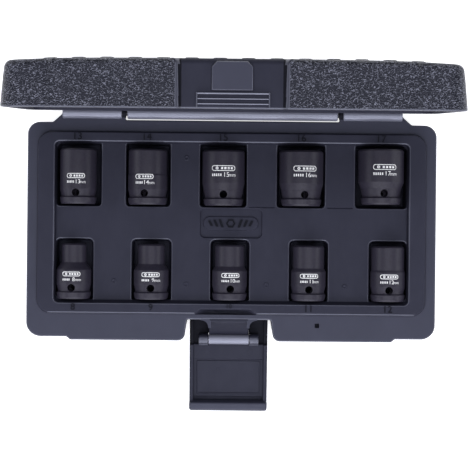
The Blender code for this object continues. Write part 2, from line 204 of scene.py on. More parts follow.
# --- meshes -----------------------------------------------------------------
class Shell:
    """Faces collected in millimetres, then welded into one mesh."""

    def __init__(self):
        self.verts = []
        self.faces = []
        self.paint = []
        self.colour = 0

    def points(self, loop, z):
        start = len(self.verts)
        heights = np.broadcast_to(z, len(loop))
        self.verts += [(float(p[0]), float(p[1]), float(h)) for p, h in zip(loop, heights)]
        return list(range(start, start + len(loop)))

    def face(self, corners):
        self.faces.append(corners)
        self.paint.append(self.colour)

    def bridge(self, low, high):
        count = len(low)
        for i in range(count):
            j = (i + 1) % count
            self.face((low[i], low[j], high[j], high[i]))

    def stack(self, rows):
        """Walls through (loop, height) rows, in walking order: up outside, down in holes."""
        rings = [self.points(loop, z) for loop, z in rows]
        for low, high in zip(rings, rings[1:]):
            self.bridge(low, high)
        return rings

    def flat(self, z, outer, holes=(), up=True):
        loops = [outer, *holes]
        flat = [Vector(p) for loop in loops for p in loop]
        edges, start = [], 0
        for loop in loops:
            edges += [(start + i, start + (i + 1) % len(loop)) for i in range(len(loop))]
            start += len(loop)
        made, _, faces, _, _, _ = geometry.delaunay_2d_cdt(flat, edges, [], 0, 1e-4)
        made = np.array([tuple(v) for v in made])
        faces = np.array([f for f in faces])
        middles = made[faces].mean(1)
        keep = inside(middles, outer)
        for hole in holes:
            keep &= ~inside(middles, hole)
        ring = self.points(made, z)
        for f in faces[keep]:
            a, b, c = made[f]
            area = (b[0] - a[0]) * (c[1] - a[1]) - (b[1] - a[1]) * (c[0] - a[0])
            if abs(area) < 1e-9:
                continue
            order = [ring[i] for i in f]
            self.face(tuple(order if (area > 0) == up else order[::-1]))

    def solid(self, rings, closed=False):
        """A closed body through rings of 3-D points, turned to face outwards."""
        start_face = len(self.faces)
        rows = []
        for ring in rings:
            start = len(self.verts)
            self.verts += [tuple(map(float, p)) for p in ring]
            rows.append(list(range(start, start + len(ring))))
        for low, high in zip(rows, rows[1:] + (rows[:1] if closed else [])):
            self.bridge(low, high)
        if not closed:
            self.face(tuple(reversed(rows[0])))
            self.face(tuple(rows[-1]))
        volume = 0.0
        for f in self.faces[start_face:]:
            a = np.array(self.verts[f[0]])
            for i in range(1, len(f) - 1):
                b, c = np.array(self.verts[f[i]]), np.array(self.verts[f[i + 1]])
                volume += float(a @ np.cross(b, c))
        if volume < 0:
            self.faces[start_face:] = [tuple(reversed(f)) for f in self.faces[start_face:]]

    def bar(self, section, x0, x1, r):
        """A section in Y-Z drawn along X, with its two ends rounded by r."""
        section = np.array(section, float)
        area = sum(
            a[0] * b[1] - a[1] * b[0] for a, b in zip(section, np.roll(section, -1, 0))
        )
        if area < 0:
            section = section[::-1]
        ends = [(r - r * math.sin(a), r - r * math.cos(a)) for a in np.linspace(0, math.pi / 2, 4)]
        steps = [(i, x0 + d) for i, d in ends] + [(i, x1 - d) for i, d in reversed(ends)]
        rings = []
        for inset, x in steps:
            loop = offset(section, inset)
            rings.append([(x, y, z) for y, z in loop])
        self.solid(rings)

    def rod(self, x0, x1, y, z, radius, r, sides=40):
        angles = [math.tau * (k + 0.5) / sides for k in range(sides)]
        self.bar(
            [(y + radius * math.cos(a), z + radius * math.sin(a)) for a in angles], x0, x1, r
        )

    def move(self, matrix):
        self.verts = [tuple(matrix @ Vector(v)) for v in self.verts]

    def object(self, name, materials, sharp=35.0, weighted=True):
        bm = bmesh.new()
        verts = [bm.verts.new(Vector(v) * MM) for v in self.verts]
        for corners, colour in zip(self.faces, self.paint):
            try:
                face = bm.faces.new([verts[i] for i in corners])
            except ValueError:
                continue
            face.material_index = colour
        bmesh.ops.remove_doubles(bm, verts=bm.verts, dist=3e-6)
        bmesh.ops.dissolve_degenerate(bm, dist=1e-6, edges=bm.edges)
        loose = [v for v in bm.verts if not v.link_faces]
        bmesh.ops.delete(bm, geom=loose, context="VERTS")
        mesh = bpy.data.meshes.new(name)
        bm.to_mesh(mesh)
        bm.free()
        return finish_object(name, mesh, materials, sharp, weighted)


def finish_object(name, mesh, materials, sharp=35.0, weighted=True):
    obj = bpy.data.objects.new(name, mesh)
    bpy.context.scene.collection.objects.link(obj)
    for mat in materials:
        mesh.materials.append(mat)
    mesh.shade_smooth()
    mesh.set_sharp_from_angle(angle=math.radians(sharp))
    if weighted:
        mod = obj.modifiers.new("normals", "WEIGHTED_NORMAL")
        mod.keep_sharp = True
        mod.weight = 80
    return obj


# --- materials --------------------------------------------------------------
def node_material(name, roughness, metallic=0.0, specular=0.5):
    mat = bpy.data.materials.new(name)
    mat.use_nodes = True
    tree = mat.node_tree
    shader = tree.nodes["Principled BSDF"]
    shader.inputs["Roughness"].default_value = roughness
    shader.inputs["Metallic"].default_value = metallic
    shader.inputs["Specular IOR Level"].default_value = specular
    coords = tree.nodes.new("ShaderNodeTexCoord")
    return mat, tree, shader, coords


def noise(tree, coords, scale, detail=3.0, rough=0.55, stretch=None):
    node = tree.nodes.new("ShaderNodeTexNoise")
    node.inputs["Scale"].default_value = scale
    node.inputs["Detail"].default_value = detail
    node.inputs["Roughness"].default_value = rough
    source = coords.outputs["Object"]
    if stretch:
        mapping = tree.nodes.new("ShaderNodeMapping")
        mapping.inputs["Scale"].default_value = stretch
        tree.links.new(source, mapping.inputs["Vector"])
        source = mapping.outputs["Vector"]
    tree.links.new(source, node.inputs["Vector"])
    return node.outputs["Fac"]


def ramp(tree, value, low, high, a, b):
    node = tree.nodes.new("ShaderNodeValToRGB")
    node.color_ramp.elements[0].position = low
    node.color_ramp.elements[1].position = high
    node.color_ramp.elements[0].color = (*a, 1) if hasattr(a, "__len__") else (a, a, a, 1)
    node.color_ramp.elements[1].color = (*b, 1) if hasattr(b, "__len__") else (b, b, b, 1)
    tree.links.new(value, node.inputs["Fac"])
    return node.outputs["Color"]


def ridge(tree, value, middle, width, dark, light):
    """Pale where the value is near its middle, dark on both sides of it."""
    node = tree.nodes.new("ShaderNodeValToRGB")
    stops = node.color_ramp.elements
    stops.new(0.5)
    for stop, position, colour in zip(stops, (-width, 0.0, width), (dark, light, dark)):
        stop.position = middle + position
        stop.color = (*colour, 1)
    tree.links.new(value, node.inputs["Fac"])
    return node.outputs["Color"]


def bump(tree, shader, value, strength, distance, base=None):
    node = tree.nodes.new("ShaderNodeBump")
    node.inputs["Strength"].default_value = strength
    node.inputs["Distance"].default_value = distance
    tree.links.new(value, node.inputs["Height"])
    if base is not None:
        tree.links.new(base, node.inputs["Normal"])
    tree.links.new(node.outputs["Normal"], shader.inputs["Normal"])
    return node.outputs["Normal"]


def moulded(name, dark, light, rough, grain=False, specular=0.3):
    """Satin moulded plastic, with a pebbled mould grain where grain is set, its pale crests painted
    highlights.
    """
    mat, tree, shader, coords = node_material(name, 0.5, 0.0, specular)
    shader.inputs["Specular Tint"].default_value = (0.82, 0.85, 1.0, 1)
    patchy = noise(tree, coords, 45.0, 4.0, 0.6)
    tree.links.new(ramp(tree, patchy, 0.3, 0.72, dark, light), shader.inputs["Base Color"])
    scuffs = noise(tree, coords, 320.0, 5.0, 0.7, (1.0, 0.35, 1.0))
    tree.links.new(
        ramp(tree, scuffs, 0.35, 0.7, rough - 0.05, rough + 0.05), shader.inputs["Roughness"]
    )
    fine = noise(tree, coords, 2600.0, 2.0)
    normal = bump(tree, shader, fine, 0.10, 0.00012)
    if grain:
        worms = noise(tree, coords, 980.0, 1.0, 0.5, (0.65, 1.0, 1.0))
        shaped = ridge(tree, worms, 0.50, 0.10, (0.0, 0.0, 0.0), (1.0, 1.0, 1.0))
        bump(tree, shader, shaped, 1.0, 0.0003, normal)
        # the grain's crests are coloured pale: painted glints
        glint_crests = ridge(tree, worms, 0.50, 0.045, dark, light)
        tree.links.new(glint_crests, shader.inputs["Base Color"])
    return mat


DARK, LIGHT = (0.0125, 0.0125, 0.0215), (0.0165, 0.0165, 0.0275)
plastic = moulded("case_plastic", DARK, LIGHT, 0.62, specular=0.25)
polished = moulded("case_plastic_polished", DARK, LIGHT, 0.40, specular=0.9)
# dark plastic whose grain crests are painted pale: painted glints
grained = moulded(
    "case_plastic_grained", (0.005, 0.005, 0.009), (0.19, 0.195, 0.24), 0.36, grain=True
)
latch_plastic = moulded(
    "latch_plastic_moulded", (0.0080, 0.0080, 0.0150), (0.0110, 0.0110, 0.0195), 0.58, specular=0.25
)
# pale glossy copy of the plastic: painted highlight on knuckles, barrels and grip bars
painted_highlight_plastic = moulded(
    "case_plastic_painted_highlight", (0.118, 0.120, 0.152), (0.138, 0.141, 0.178), 0.36, specular=1.0
)
# lighter copy of the plastic: painted light on the flange, the rim, the tab, root caps and the latch's
# lip
painted_light_plastic = moulded(
    "case_plastic_painted_light", (0.0200, 0.0205, 0.0330), (0.0250, 0.0256, 0.0405), 0.52, specular=0.35
)
# near-black copy of the plastic: painted shade on bosses, bay walls, floor strips, latch ears, numbers
# and emblem
painted_shade_plastic = moulded(
    "case_plastic_painted_shade", (0.004, 0.004, 0.006), (0.006, 0.006, 0.009), 0.7, specular=0.12
)
# each moulding's finishes, and the names its faces are painted by. Besides the plain, grained and
# polished plastic these are lit and shaded copies of it: a pale glossy copy as painted highlight, a
# lighter copy as painted light and a near-black copy as painted shade
CASE_FINISHES = [plastic, grained, polished, painted_highlight_plastic, painted_light_plastic, painted_shade_plastic]
PLAIN, GRAINED, POLISHED, PAINTED_HIGHLIGHT, PAINTED_LIGHT, PAINTED_SHADE, TONGUE_PAINTED_SHADE = range(7)
LATCH_FINISHES = [latch_plastic, painted_shade_plastic, polished, painted_light_plastic]
LATCH_PLAIN, LATCH_PAINTED_SHADE, LATCH_POLISHED, LATCH_LIP_PAINTED_LIGHT = range(4)


def phosphate_material():
    mat, tree, shader, coords = node_material("phosphate_steel_finish", 0.42, 0.0, 0.22)
    grainy = noise(tree, coords, 900.0, 5.0, 0.65)
    tree.links.new(
        ramp(tree, grainy, 0.3, 0.7, (0.0150, 0.0133, 0.0210), (0.0225, 0.0200, 0.0310)),
        shader.inputs["Base Color"],
    )
    turned = noise(tree, coords, 260.0, 3.0, 0.6, (1.0, 9.0, 1.0))
    tree.links.new(ramp(tree, turned, 0.3, 0.7, 0.36, 0.46), shader.inputs["Roughness"])
    fine = noise(tree, coords, 3200.0, 2.0)
    bump(tree, shader, fine, 0.14, 0.00012)
    return mat


def steel_material(name, dark, light):
    mat, tree, shader, coords = node_material(name, 0.3, 1.0)
    drawn = noise(tree, coords, 700.0, 3.0, 0.6, (0.05, 1.0, 1.0))
    tree.links.new(ramp(tree, drawn, 0.3, 0.7, dark, light), shader.inputs["Base Color"])
    tree.links.new(ramp(tree, drawn, 0.3, 0.7, 0.26, 0.4), shader.inputs["Roughness"])
    return mat


def ink_material():
    mat, tree, shader, coords = node_material("etched_mark", 0.6)
    worn = noise(tree, coords, 1500.0, 4.0, 0.7)
    tree.links.new(
        ramp(tree, worn, 0.35, 0.6, (0.42, 0.42, 0.42), (0.80, 0.80, 0.79)),
        shader.inputs["Base Color"],
    )
    return mat


phosphate = phosphate_material()
steel = steel_material("pin_steel_drawn", (0.34, 0.345, 0.36), (0.48, 0.48, 0.50))
blackened = steel_material("pin_steel_blackened", (0.020, 0.020, 0.022), (0.034, 0.034, 0.038))
ink = ink_material()


# --- the case's outline -----------------------------------------------------
def case_corners(recess):
    """The outline's corners from the front right, with the front recess's corners put in."""
    step = PANEL_HALF + PANEL_SLOPE
    proud = FRONT_Y - PANEL_PROUD
    return (
        [(-HALF_WIDTH, FRONT_Y, CORNER_R), (-step, FRONT_Y, 1.5), (-PANEL_HALF, proud, 1.5)]
        + recess
        + [(PANEL_HALF, proud, 1.5), (step, FRONT_Y, 1.5), (HALF_WIDTH, FRONT_Y, CORNER_R)]
    )


def front_recess(near, far, depth, near_r, far_r):
    proud = FRONT_Y - PANEL_PROUD
    return [
        (LATCH_X - far, proud, far_r),
        (LATCH_X - near, depth, near_r),
        (LATCH_X + near, depth, near_r),
        (LATCH_X + far, proud, far_r),
    ]


def base_outline():
    far = BASE_KNUCKLE[1]
    slot = HINGE_Y - KNUCKLE_R - 0.5
    boss = 58.4
    half = [(far + 5.2, BACK_Y, 1.6), (far + 0.9, HINGE_Y - 1.3, 2.0), (far, HINGE_Y, 0.0)]
    half += [(boss, HINGE_Y, 0.0), (boss, slot, 0.9)]
    corners = case_corners(front_recess(22.9, 24.3, NOTCH_BACK, 1.2, 4.0))
    corners += [(HALF_WIDTH, BACK_Y, CORNER_R)] + half
    corners += [(-x, y, r) for x, y, r in reversed(half)] + [(-HALF_WIDTH, BACK_Y, CORNER_R)]
    return filleted(corners)


OUTLINE = base_outline()
OUTLINE_IN = inward(OUTLINE)
ON_LEDGE = (np.abs(OUTLINE[:, 0]) < BASE_KNUCKLE[1] + FLARE_R + 0.01) & (OUTLINE[:, 1] > BACK_Y - 0.01)
IN_NOTCH = (np.abs(OUTLINE[:, 0] - LATCH_X) < 29.5) & (OUTLINE[:, 1] < 0)
# how far each point follows the walls' draft: the notch's own walls are upright
FOLLOWS = np.where(IN_NOTCH, np.clip((-55.5 - OUTLINE[:, 1]) / 4.7, 0, 1), 1.0)
FOLLOWS[ON_LEDGE] = 0.0


def base_loop(z, fillet=0.0, ledge=True):
    draft = DRAFT * (BASE_H - z)
    loop = OUTLINE + OUTLINE_IN * np.reshape(fillet + draft * FOLLOWS, (-1, 1))
    if not ledge:
        loop[ON_LEDGE, 0] = OUTLINE[ON_LEDGE, 0]
        loop[ON_LEDGE, 1] = BACK_Y - fillet - draft
    return loop


def blow_hole():
    return rect(45.9, 48.1, -52.4, -50.2, 0.25)


# --- base -------------------------------------------------------------------
def pocket(shell, size):
    """One socket's pocket; returns the loop that it opens in the tray floor."""
    x0, x1 = POCKETS[size]
    upper = size > 12
    y0, y1 = (UPPER_FRONT, TRAY[3]) if upper else (TRAY[2], LOWER_BACK)
    corner = 3.0
    small = 1.0
    near = 3.05  # reach of a corner shared with the tray
    free_r = 1.8 if upper else 2.4
    at_left, at_right = x0 == TRAY[0], x1 == TRAY[1]
    if upper:
        radii = [free_r, corner if at_right else small, corner if at_left else small, free_r]
    else:
        radii = [corner if at_right else small, free_r, free_r, corner if at_left else small]
    loop = rect(x0, x1, y0, y1, radii)
    x, y = loop[:, 0], loop[:, 1]
    at_end = (y < TRAY[2] + near) | (y > TRAY[3] - near)
    free = np.ones(len(loop))
    free[y > TRAY[3] - 0.001] = 0
    free[y < TRAY[2] + 0.001] = 0
    if at_left:
        free[(x < TRAY[0] + 0.001) | ((x < TRAY[0] + near) & at_end)] = 0
    if at_right:
        free[(x > TRAY[1] - 0.001) | ((x > TRAY[1] - near) & at_end)] = 0
    if free.sum() and at_left | at_right:
        edge = (y == y0) if upper else (y == y1)
        free[edge & ((x <= TRAY[0] + 0.001) | (x >= TRAY[1] - 0.001))] = 1
    steps = inward(loop)
    nut_d, drive_d, _ = SOCKETS[size]
    floor = SOCKET_Z - max(nut_d, drive_d) / 2 - 0.3
    rows = []
    for out, z in dip(0.7, TRAY_Z):
        rows.append((loop - steps * (out * free)[:, None], z))
    shell.colour = POLISHED
    shell.stack(rows)
    shell.colour = PLAIN
    opening = rows[0][0]
    rows = rows[-1:]
    taper = 0.35
    foot = 1.4
    for k in range(5):
        a = math.pi / 2 * k / 4
        inset = taper + foot - foot * math.cos(a)
        rows.append((loop + steps * inset, floor + foot - foot * math.sin(a)))
    shell.stack(rows)
    shell.flat(floor, rows[-1][0])
    return opening


def make_base():
    shell = Shell()
    shell.colour = GRAINED
    foot = 2.0
    rows = []
    for k in range(6):
        a = math.pi / 2 * k / 5
        rows.append((base_loop(0.0, foot - foot * math.sin(a), False), foot - foot * math.cos(a)))
    shell.flat(0.0, rows[0][0], up=False)
    ledge_z = BASE_H - 5.0
    rows.append((base_loop(ledge_z, 0.0, False), ledge_z))
    rows.append((base_loop(ledge_z, 0.0, True), ledge_z))
    shell.stack(rows)
    shell.colour = PLAIN
    rim = [(base_loop(ledge_z, 0.0, True), ledge_z)]
    rim += [(base_loop(z, inset, True), z) for inset, z in rise(0.8, BASE_H)]
    # the top of the outer wall takes the lighter plastic: painted light
    shell.colour = PAINTED_LIGHT
    shell.stack(rim[:2])
    shell.colour = POLISHED
    shell.stack(rim[1:])
    shell.colour = PLAIN

    # the raised ring round the tray, with a finger scoop in its front
    ring_x, ring_y0, ring_y1 = 106.0, -45.8, 53.6
    scoop_x, scoop_half, scoop_depth = -2.85, 16.6, 4.0
    scoop = [(-19.5, ring_y0, 1.0), (-16.5, -43.2, 2.0), (10.8, -43.2, 2.0), (13.8, ring_y0, 1.0)]
    corners = [(-ring_x, ring_y0, 8.0), *scoop, (ring_x, ring_y0, 8.0)]
    corners += [(ring_x, ring_y1, 8.0), (-ring_x, ring_y1, 8.0)]
    ring = filleted(corners)
    aside = np.abs(ring[:, 0] - scoop_x)
    plain = ring[~((aside < 17.5) & (ring[:, 1] > ring_y0 + 1e-6) & (ring[:, 1] < 0))]
    hollow = ring[(aside < 17.6) & (ring[:, 1] < -40)]
    rows = [(ring, BASE_H), (offset(ring, 0.12), BASE_H + 0.1), (offset(ring, 0.3), BASE_H + 0.4)]
    rows += [(offset(ring, 0.5 + inset), z) for inset, z in rise(0.7, RING_Z)]
    start = len(shell.faces)
    shell.stack(rows)
    for i in range(start, len(shell.faces)):
        middle = np.mean([shell.verts[k] for k in shell.faces[i]], 0)
        if middle[1] < -44.6 and abs(middle[0]) < 100.0:
            shell.paint[i] = POLISHED
    hollow = hollow[::-1]
    # its floor rises gently towards both ends
    bowl = [(hollow, BASE_H)]
    for inset, narrower, depth in (
        (0.1, 1.2, 0.9),
        (0.2, 2.8, 2.0),
        (0.3, 4.6, 3.0),
        (0.5, 7.0, 3.7),
        (0.8, 9.5, scoop_depth),
    ):
        loop = offset(hollow, inset)
        loop[:, 0] = scoop_x + (loop[:, 0] - scoop_x) * (1 - narrower / scoop_half)
        bowl.append((loop, BASE_H - depth))
    shell.stack(bowl)
    shell.flat(BASE_H - scoop_depth, bowl[-1][0])
    hole = blow_hole()
    shell.stack([(offset(hole, -0.15), BASE_H), (hole, BASE_H - 0.15), (hole, BASE_H - 4.0)])
    shell.flat(BASE_H - 4.0, hole)
    # the flange's top in the lighter plastic: painted light
    shell.colour = PAINTED_LIGHT
    shell.flat(BASE_H, rim[-1][0], [plain, offset(hole, -0.15)])
    shell.colour = PLAIN

    # tray walls and floor
    tray = rect(*TRAY, 1.8)
    wall = offset(tray, -0.6)
    wall[wall[:, 1] < -30.0, 1] -= 0.8
    rows = [(offset(wall, -out), z) for out, z in dip(0.8, RING_Z)] + [(tray, TRAY_Z)]
    top_inner = rows[0][0]
    shell.colour = POLISHED
    shell.stack(rows[:-1])
    shell.colour = PLAIN
    shell.stack(rows[-2:])
    shell.flat(RING_Z, offset(ring, 1.2), [top_inner])
    openings = [pocket(shell, size) for size in sorted(SOCKETS)]

    # a shallow panel with a raised pill in the middle of the tray
    panel = rect(-17.0, 16.4, -3.7, 11.9, 2.4)
    low = TRAY_Z - 1.0
    pill = rect(-15.6, 14.6, 0.2, 7.8, 3.79)
    rows = [(offset(panel, -out), z) for out, z in dip(0.6, TRAY_Z, 4)]
    rows += [(offset(panel, 0.15), low)]
    shell.stack(rows)
    openings.append(rows[0][0])
    raised = [(pill, low)] + [(offset(pill, 0.1 + inset), z) for inset, z in rise(0.4, low + 0.7, 4)]
    shell.flat(low, rows[-1][0], [pill])
    shell.stack(raised)
    shell.flat(low + 0.7, raised[-1][0])

    # the parting grooves in front of the right-hand blocks
    for x0, x1 in ((9.2, 23.3), (51.9, 65.9)):
        groove = rect(x0, x1, 12.55, 13.25, 0.3)
        inner = offset(groove, 0.26)
        shell.stack([(groove, TRAY_Z), (inner, TRAY_Z - 0.45)])
        shell.flat(TRAY_Z - 0.45, inner)
        openings.append(groove)
    shell.flat(TRAY_Z, tray, openings)

    # hinge knuckles in the pale glossy plastic as painted highlight, each with a boss next to the lid's
    # own painted near-black as painted shade
    for side in (-1, 1):
        shell.colour = PAINTED_HIGHLIGHT
        x0, x1 = sorted((side * BASE_KNUCKLE[0], side * BASE_KNUCKLE[1]))
        shell.rod(x0, x1, HINGE_Y, HINGE_Z, KNUCKLE_R, 0.7, 56)
        shell.colour = PAINTED_SHADE
        x0, x1 = sorted((side * 58.0, side * (BASE_KNUCKLE[0] + 1.0)))
        shell.rod(x0, x1, HINGE_Y, HINGE_Z, 2.6, 0.4, 40)
    # latch tongue, in the darker latch plastic as painted shade
    shell.colour = TONGUE_PAINTED_SHADE
    half = 10.9
    gusset = filleted(
        [
            (NOTCH_BACK + 1.0, BASE_H - 0.08, 0.0),
            (NOTCH_BACK - 1.2, BASE_H - 0.08, 1.5),
            (LATCH_Y + 2.75, LATCH_Z + 0.9, 0.4),
            (LATCH_Y + 1.6, LATCH_Z - 1.6, 0.4),
            (NOTCH_BACK + 1.0, 3.0, 0.0),
        ]
    )
    shell.bar(gusset, LATCH_X - half, LATCH_X + half, 0.6)
    # rounded roots where it leaves the wall, their flat caps in the lighter plastic as painted light,
    # and low near-black strips on the floor beside it as painted shadow
    root_r = 4.2
    for side in (-1, 1):
        edge_x = LATCH_X + side * (half - 0.1)
        inner_x = LATCH_X + side * (half - 0.8)
        root = [(inner_x, NOTCH_BACK + 0.6), (inner_x, NOTCH_BACK - root_r)]
        for k in range(9):
            a = math.pi / 2 * k / 8
            out, back = root_r * (1 - math.cos(a)), root_r * (1 - math.sin(a))
            root.append((edge_x + side * out, NOTCH_BACK - back))
        root.append((edge_x + side * root_r, NOTCH_BACK + 0.6))
        loop = np.array(root if side < 0 else root[::-1])
        levels = ((0, 16.5), (0, BASE_H - 1.0), (0.15, BASE_H - 0.5), (0.4, BASE_H - 0.12))
        start = len(shell.faces)
        shell.colour = POLISHED
        shell.solid([[(x, y, z) for x, y in offset(loop, i)] for i, z in levels])
        for i in range(start, len(shell.faces)):
            if len(shell.faces[i]) > 4:
                shell.paint[i] = PAINTED_LIGHT
        # thin near-black strips on the floor: painted shadow
        shell.colour = PAINTED_SHADE
        for reach, wide in ((6.6, 1.6), (8.4 if side < 0 else 11.4, 0.35)):
            x0, x1 = sorted((LATCH_X + side * (half - 0.5), LATCH_X + side * (half + wide)))
            front = NOTCH_BACK - reach
            back = NOTCH_BACK + 0.5
            shell.bar([(back, 0.2), (front, 0.2), (front, 0.8), (back, 0.8)], x0, x1, 0.1)
    # the tongue's barrel in the pale glossy plastic: painted highlight
    shell.colour = PAINTED_HIGHLIGHT
    shell.rod(LATCH_X - half - 0.25, LATCH_X + half + 0.25, LATCH_Y, LATCH_Z, 2.75, 0.4, 48)
    return shell.object("case_base_moulding", [*CASE_FINISHES, latch_plastic])


# --- lid --------------------------------------------------------------------
LID_OUTLINE = filleted(
    case_corners(front_recess(24.3, 25.6, BAY_FLOOR, 0.8, 4.0))
    + [(HALF_WIDTH, BACK_Y, CORNER_R), (-HALF_WIDTH, BACK_Y, CORNER_R)]
)
LID_IN = inward(LID_OUTLINE)
IN_BAY = (np.abs(LID_OUTLINE[:, 0] - LATCH_X) < 33) & (LID_OUTLINE[:, 1] < 0)
BAY_DEPTH = np.where(IN_BAY, np.clip((LID_OUTLINE[:, 1] - FRONT_Y + PANEL_PROUD) / 2.9, 0, 1), 0.0)


def lid_loop(z, fillet=0.0):
    up = z - LID_Z
    draft = DRAFT * up
    loop = LID_OUTLINE + LID_IN * np.reshape(fillet + draft * (1 - BAY_DEPTH), (-1, 1))
    loop[:, 1] += BAY_DEPTH * 1.3 * up / LID_H
    return loop


def open_lid():
    centre = Vector((0, HINGE_Y, HINGE_Z))
    turn = Matrix.Rotation(-math.radians(LID_OPEN), 4, "X")
    return Matrix.Translation(centre) @ turn @ Matrix.Translation(-centre)


def make_lid():
    shell = Shell()
    top = LID_Z + LID_H - 0.5
    # inside
    depth = 13.0
    recess = rect(-107.1, 107.1, -46.8, 54.6, 8.0)
    foot = 3.0
    rows = []
    for k in range(7):
        a = math.pi / 2 * k / 6
        rows.append(
            (offset(recess, 1.2 + foot - foot * math.sin(a)), LID_Z + depth - foot + foot * math.cos(a))
        )
    shell.flat(LID_Z + depth, rows[0][0], up=False)
    rim_r = 0.7
    for k in range(5):
        a = math.pi / 2 * k / 4
        rows.append((offset(recess, -rim_r + rim_r * math.cos(a)), LID_Z + rim_r - rim_r * math.sin(a)))
    shell.stack(rows)
    hole = blow_hole()
    shell.stack([(hole, LID_Z + 4.0), (hole, LID_Z)])
    shell.flat(LID_Z + 4.0, hole, up=False)
    # outside, from the rim up over the edge
    edge = 0.8
    outer = []
    for k in range(5):
        a = math.pi / 2 * k / 4
        z = LID_Z + edge - edge * math.cos(a)
        outer.append((lid_loop(z, edge - edge * math.sin(a)), z))
    shell.flat(LID_Z, outer[0][0], [rows[-1][0], hole], up=False)
    shell.colour = POLISHED
    shell.stack(outer)
    start = len(shell.faces)
    shell.colour = GRAINED
    big = 3.0
    walls = [outer[-1]]
    for k in range(1, 4):
        z = outer[-1][1] + (top - big - outer[-1][1]) * k / 4
        walls.append((lid_loop(z), z))
    walls += [(lid_loop(z, inset), z) for inset, z in rise(big, top, 7)]
    shell.stack(walls)
    # a smooth border runs round the latch bay, and the bay's side walls are painted near-black as
    # painted shade
    for i in range(start, len(shell.faces)):
        middle = np.mean([shell.verts[k] for k in shell.faces[i]], 0)
        aside = abs(middle[0] - LATCH_X)
        if aside < 28.0 and middle[1] < 0:
            shell.paint[i] = POLISHED if aside > 25.3 else PAINTED_SHADE if aside > 24.2 else PLAIN
    pads = []
    for k in range(14):
        x = (k - 6.5) * 13.5
        pad = rect(x - 3.7, x + 3.7, -52.0, 45.5, 2.5)
        pads.append(pad)
        raised = [(pad, top), (offset(pad, 0.25), top + 0.1)]
        raised += [(offset(pad, 0.4 + 1.4 * inset), z) for inset, z in rise(0.4, top + 0.46, 4)]
        shell.stack(raised)
        shell.flat(top + 0.46, raised[-1][0])
    shell.flat(top, walls[-1][0], pads)
    # latch tab and grip
    shell.colour = PLAIN
    tab_top = LID_Z + 22.5
    face = BAY_FLOOR - 1.8
    outline = [(-9.8, 13.8, 0), (9.8, 13.8, 0), (9.8, 2.6, 0.4)]
    outline += [(7.2, 0, 0.4), (-7.2, 0, 0.4), (-9.8, 2.6, 0.4)]
    loop = filleted(outline)
    if (loop[:, 0] * np.roll(loop[:, 1], -1) - np.roll(loop[:, 0], -1) * loop[:, 1]).sum() < 0:
        loop = loop[::-1]
    rings = []
    for inset, y in [(0, BAY_FLOOR + 2.5), (0, face + 0.5), (0.15, face + 0.15), (0.5, face)]:
        drawn = offset(loop, inset)
        rings.append([(LATCH_X + x, y + (tab_top - d - LID_Z) * 0.045, tab_top - d) for x, d in drawn])
    start = len(shell.faces)
    shell.colour = POLISHED
    shell.solid(rings)
    # the tab's flat faces take the lighter plastic: painted light
    for i in range(start, len(shell.faces)):
        if len(shell.faces[i]) > 4:
            shell.paint[i] = PAINTED_LIGHT
    # grip bars in the pale glossy plastic: painted highlight
    for z, h in ((2.1, 0.5), (4.5, 0.5), (6.9, 0.7)):
        shell.colour = PAINTED_HIGHLIGHT
        shell.bar(
            filleted(
                [
                    (BAY_FLOOR - 0.85, LID_Z + z, 0.15),
                    (BAY_FLOOR + 1.4, LID_Z + z, 0),
                    (BAY_FLOOR + 1.4, LID_Z + z + h, 0),
                    (BAY_FLOOR - 0.85, LID_Z + z + h, 0.15),
                ]
            ),
            LATCH_X - 16.6,
            LATCH_X + 17.4,
            0.3,
        )
    for side in (-1, 1):
        shell.colour = POLISHED
        x0, x1 = sorted((LATCH_X + 0.4 + side * 16.8, LATCH_X + 0.4 + side * 17.6))
        shell.bar(
            [
                (BAY_FLOOR - 0.95, LID_Z + 0.7),
                (BAY_FLOOR + 1.4, LID_Z + 0.7),
                (BAY_FLOOR + 1.4, LID_Z + 7.8),
                (BAY_FLOOR - 0.95, LID_Z + 7.8),
            ],
            x0,
            x1,
            0.25,
        )
    # hinge
    shell.colour = PLAIN
    shell.bar(
        [
            (BACK_Y - 2.0, LID_Z),
            (HINGE_Y, LID_Z),
            (HINGE_Y, LID_Z + 2.2),
            (BACK_Y - 2.0, LID_Z + 2.2),
        ],
        -LID_KNUCKLE,
        LID_KNUCKLE,
        0.5,
    )
    # knuckle in the pale glossy plastic: painted highlight
    shell.colour = PAINTED_HIGHLIGHT
    shell.rod(-LID_KNUCKLE, LID_KNUCKLE, HINGE_Y, HINGE_Z, KNUCKLE_R, 0.7, 56)
    # the lid's outer face falls away a little towards its two ends
    for i, (x, y, z) in enumerate(shell.verts):
        end = max(0.0, abs(x) - 55.0) / 50.0
        high = min(1.0, max(0.0, (z - LID_Z - 15.0) / 7.0))
        shell.verts[i] = (x, y, z - 1.5 * high * end**2)
    shell.move(open_lid())
    return shell.object("case_lid_moulding", CASE_FINISHES)


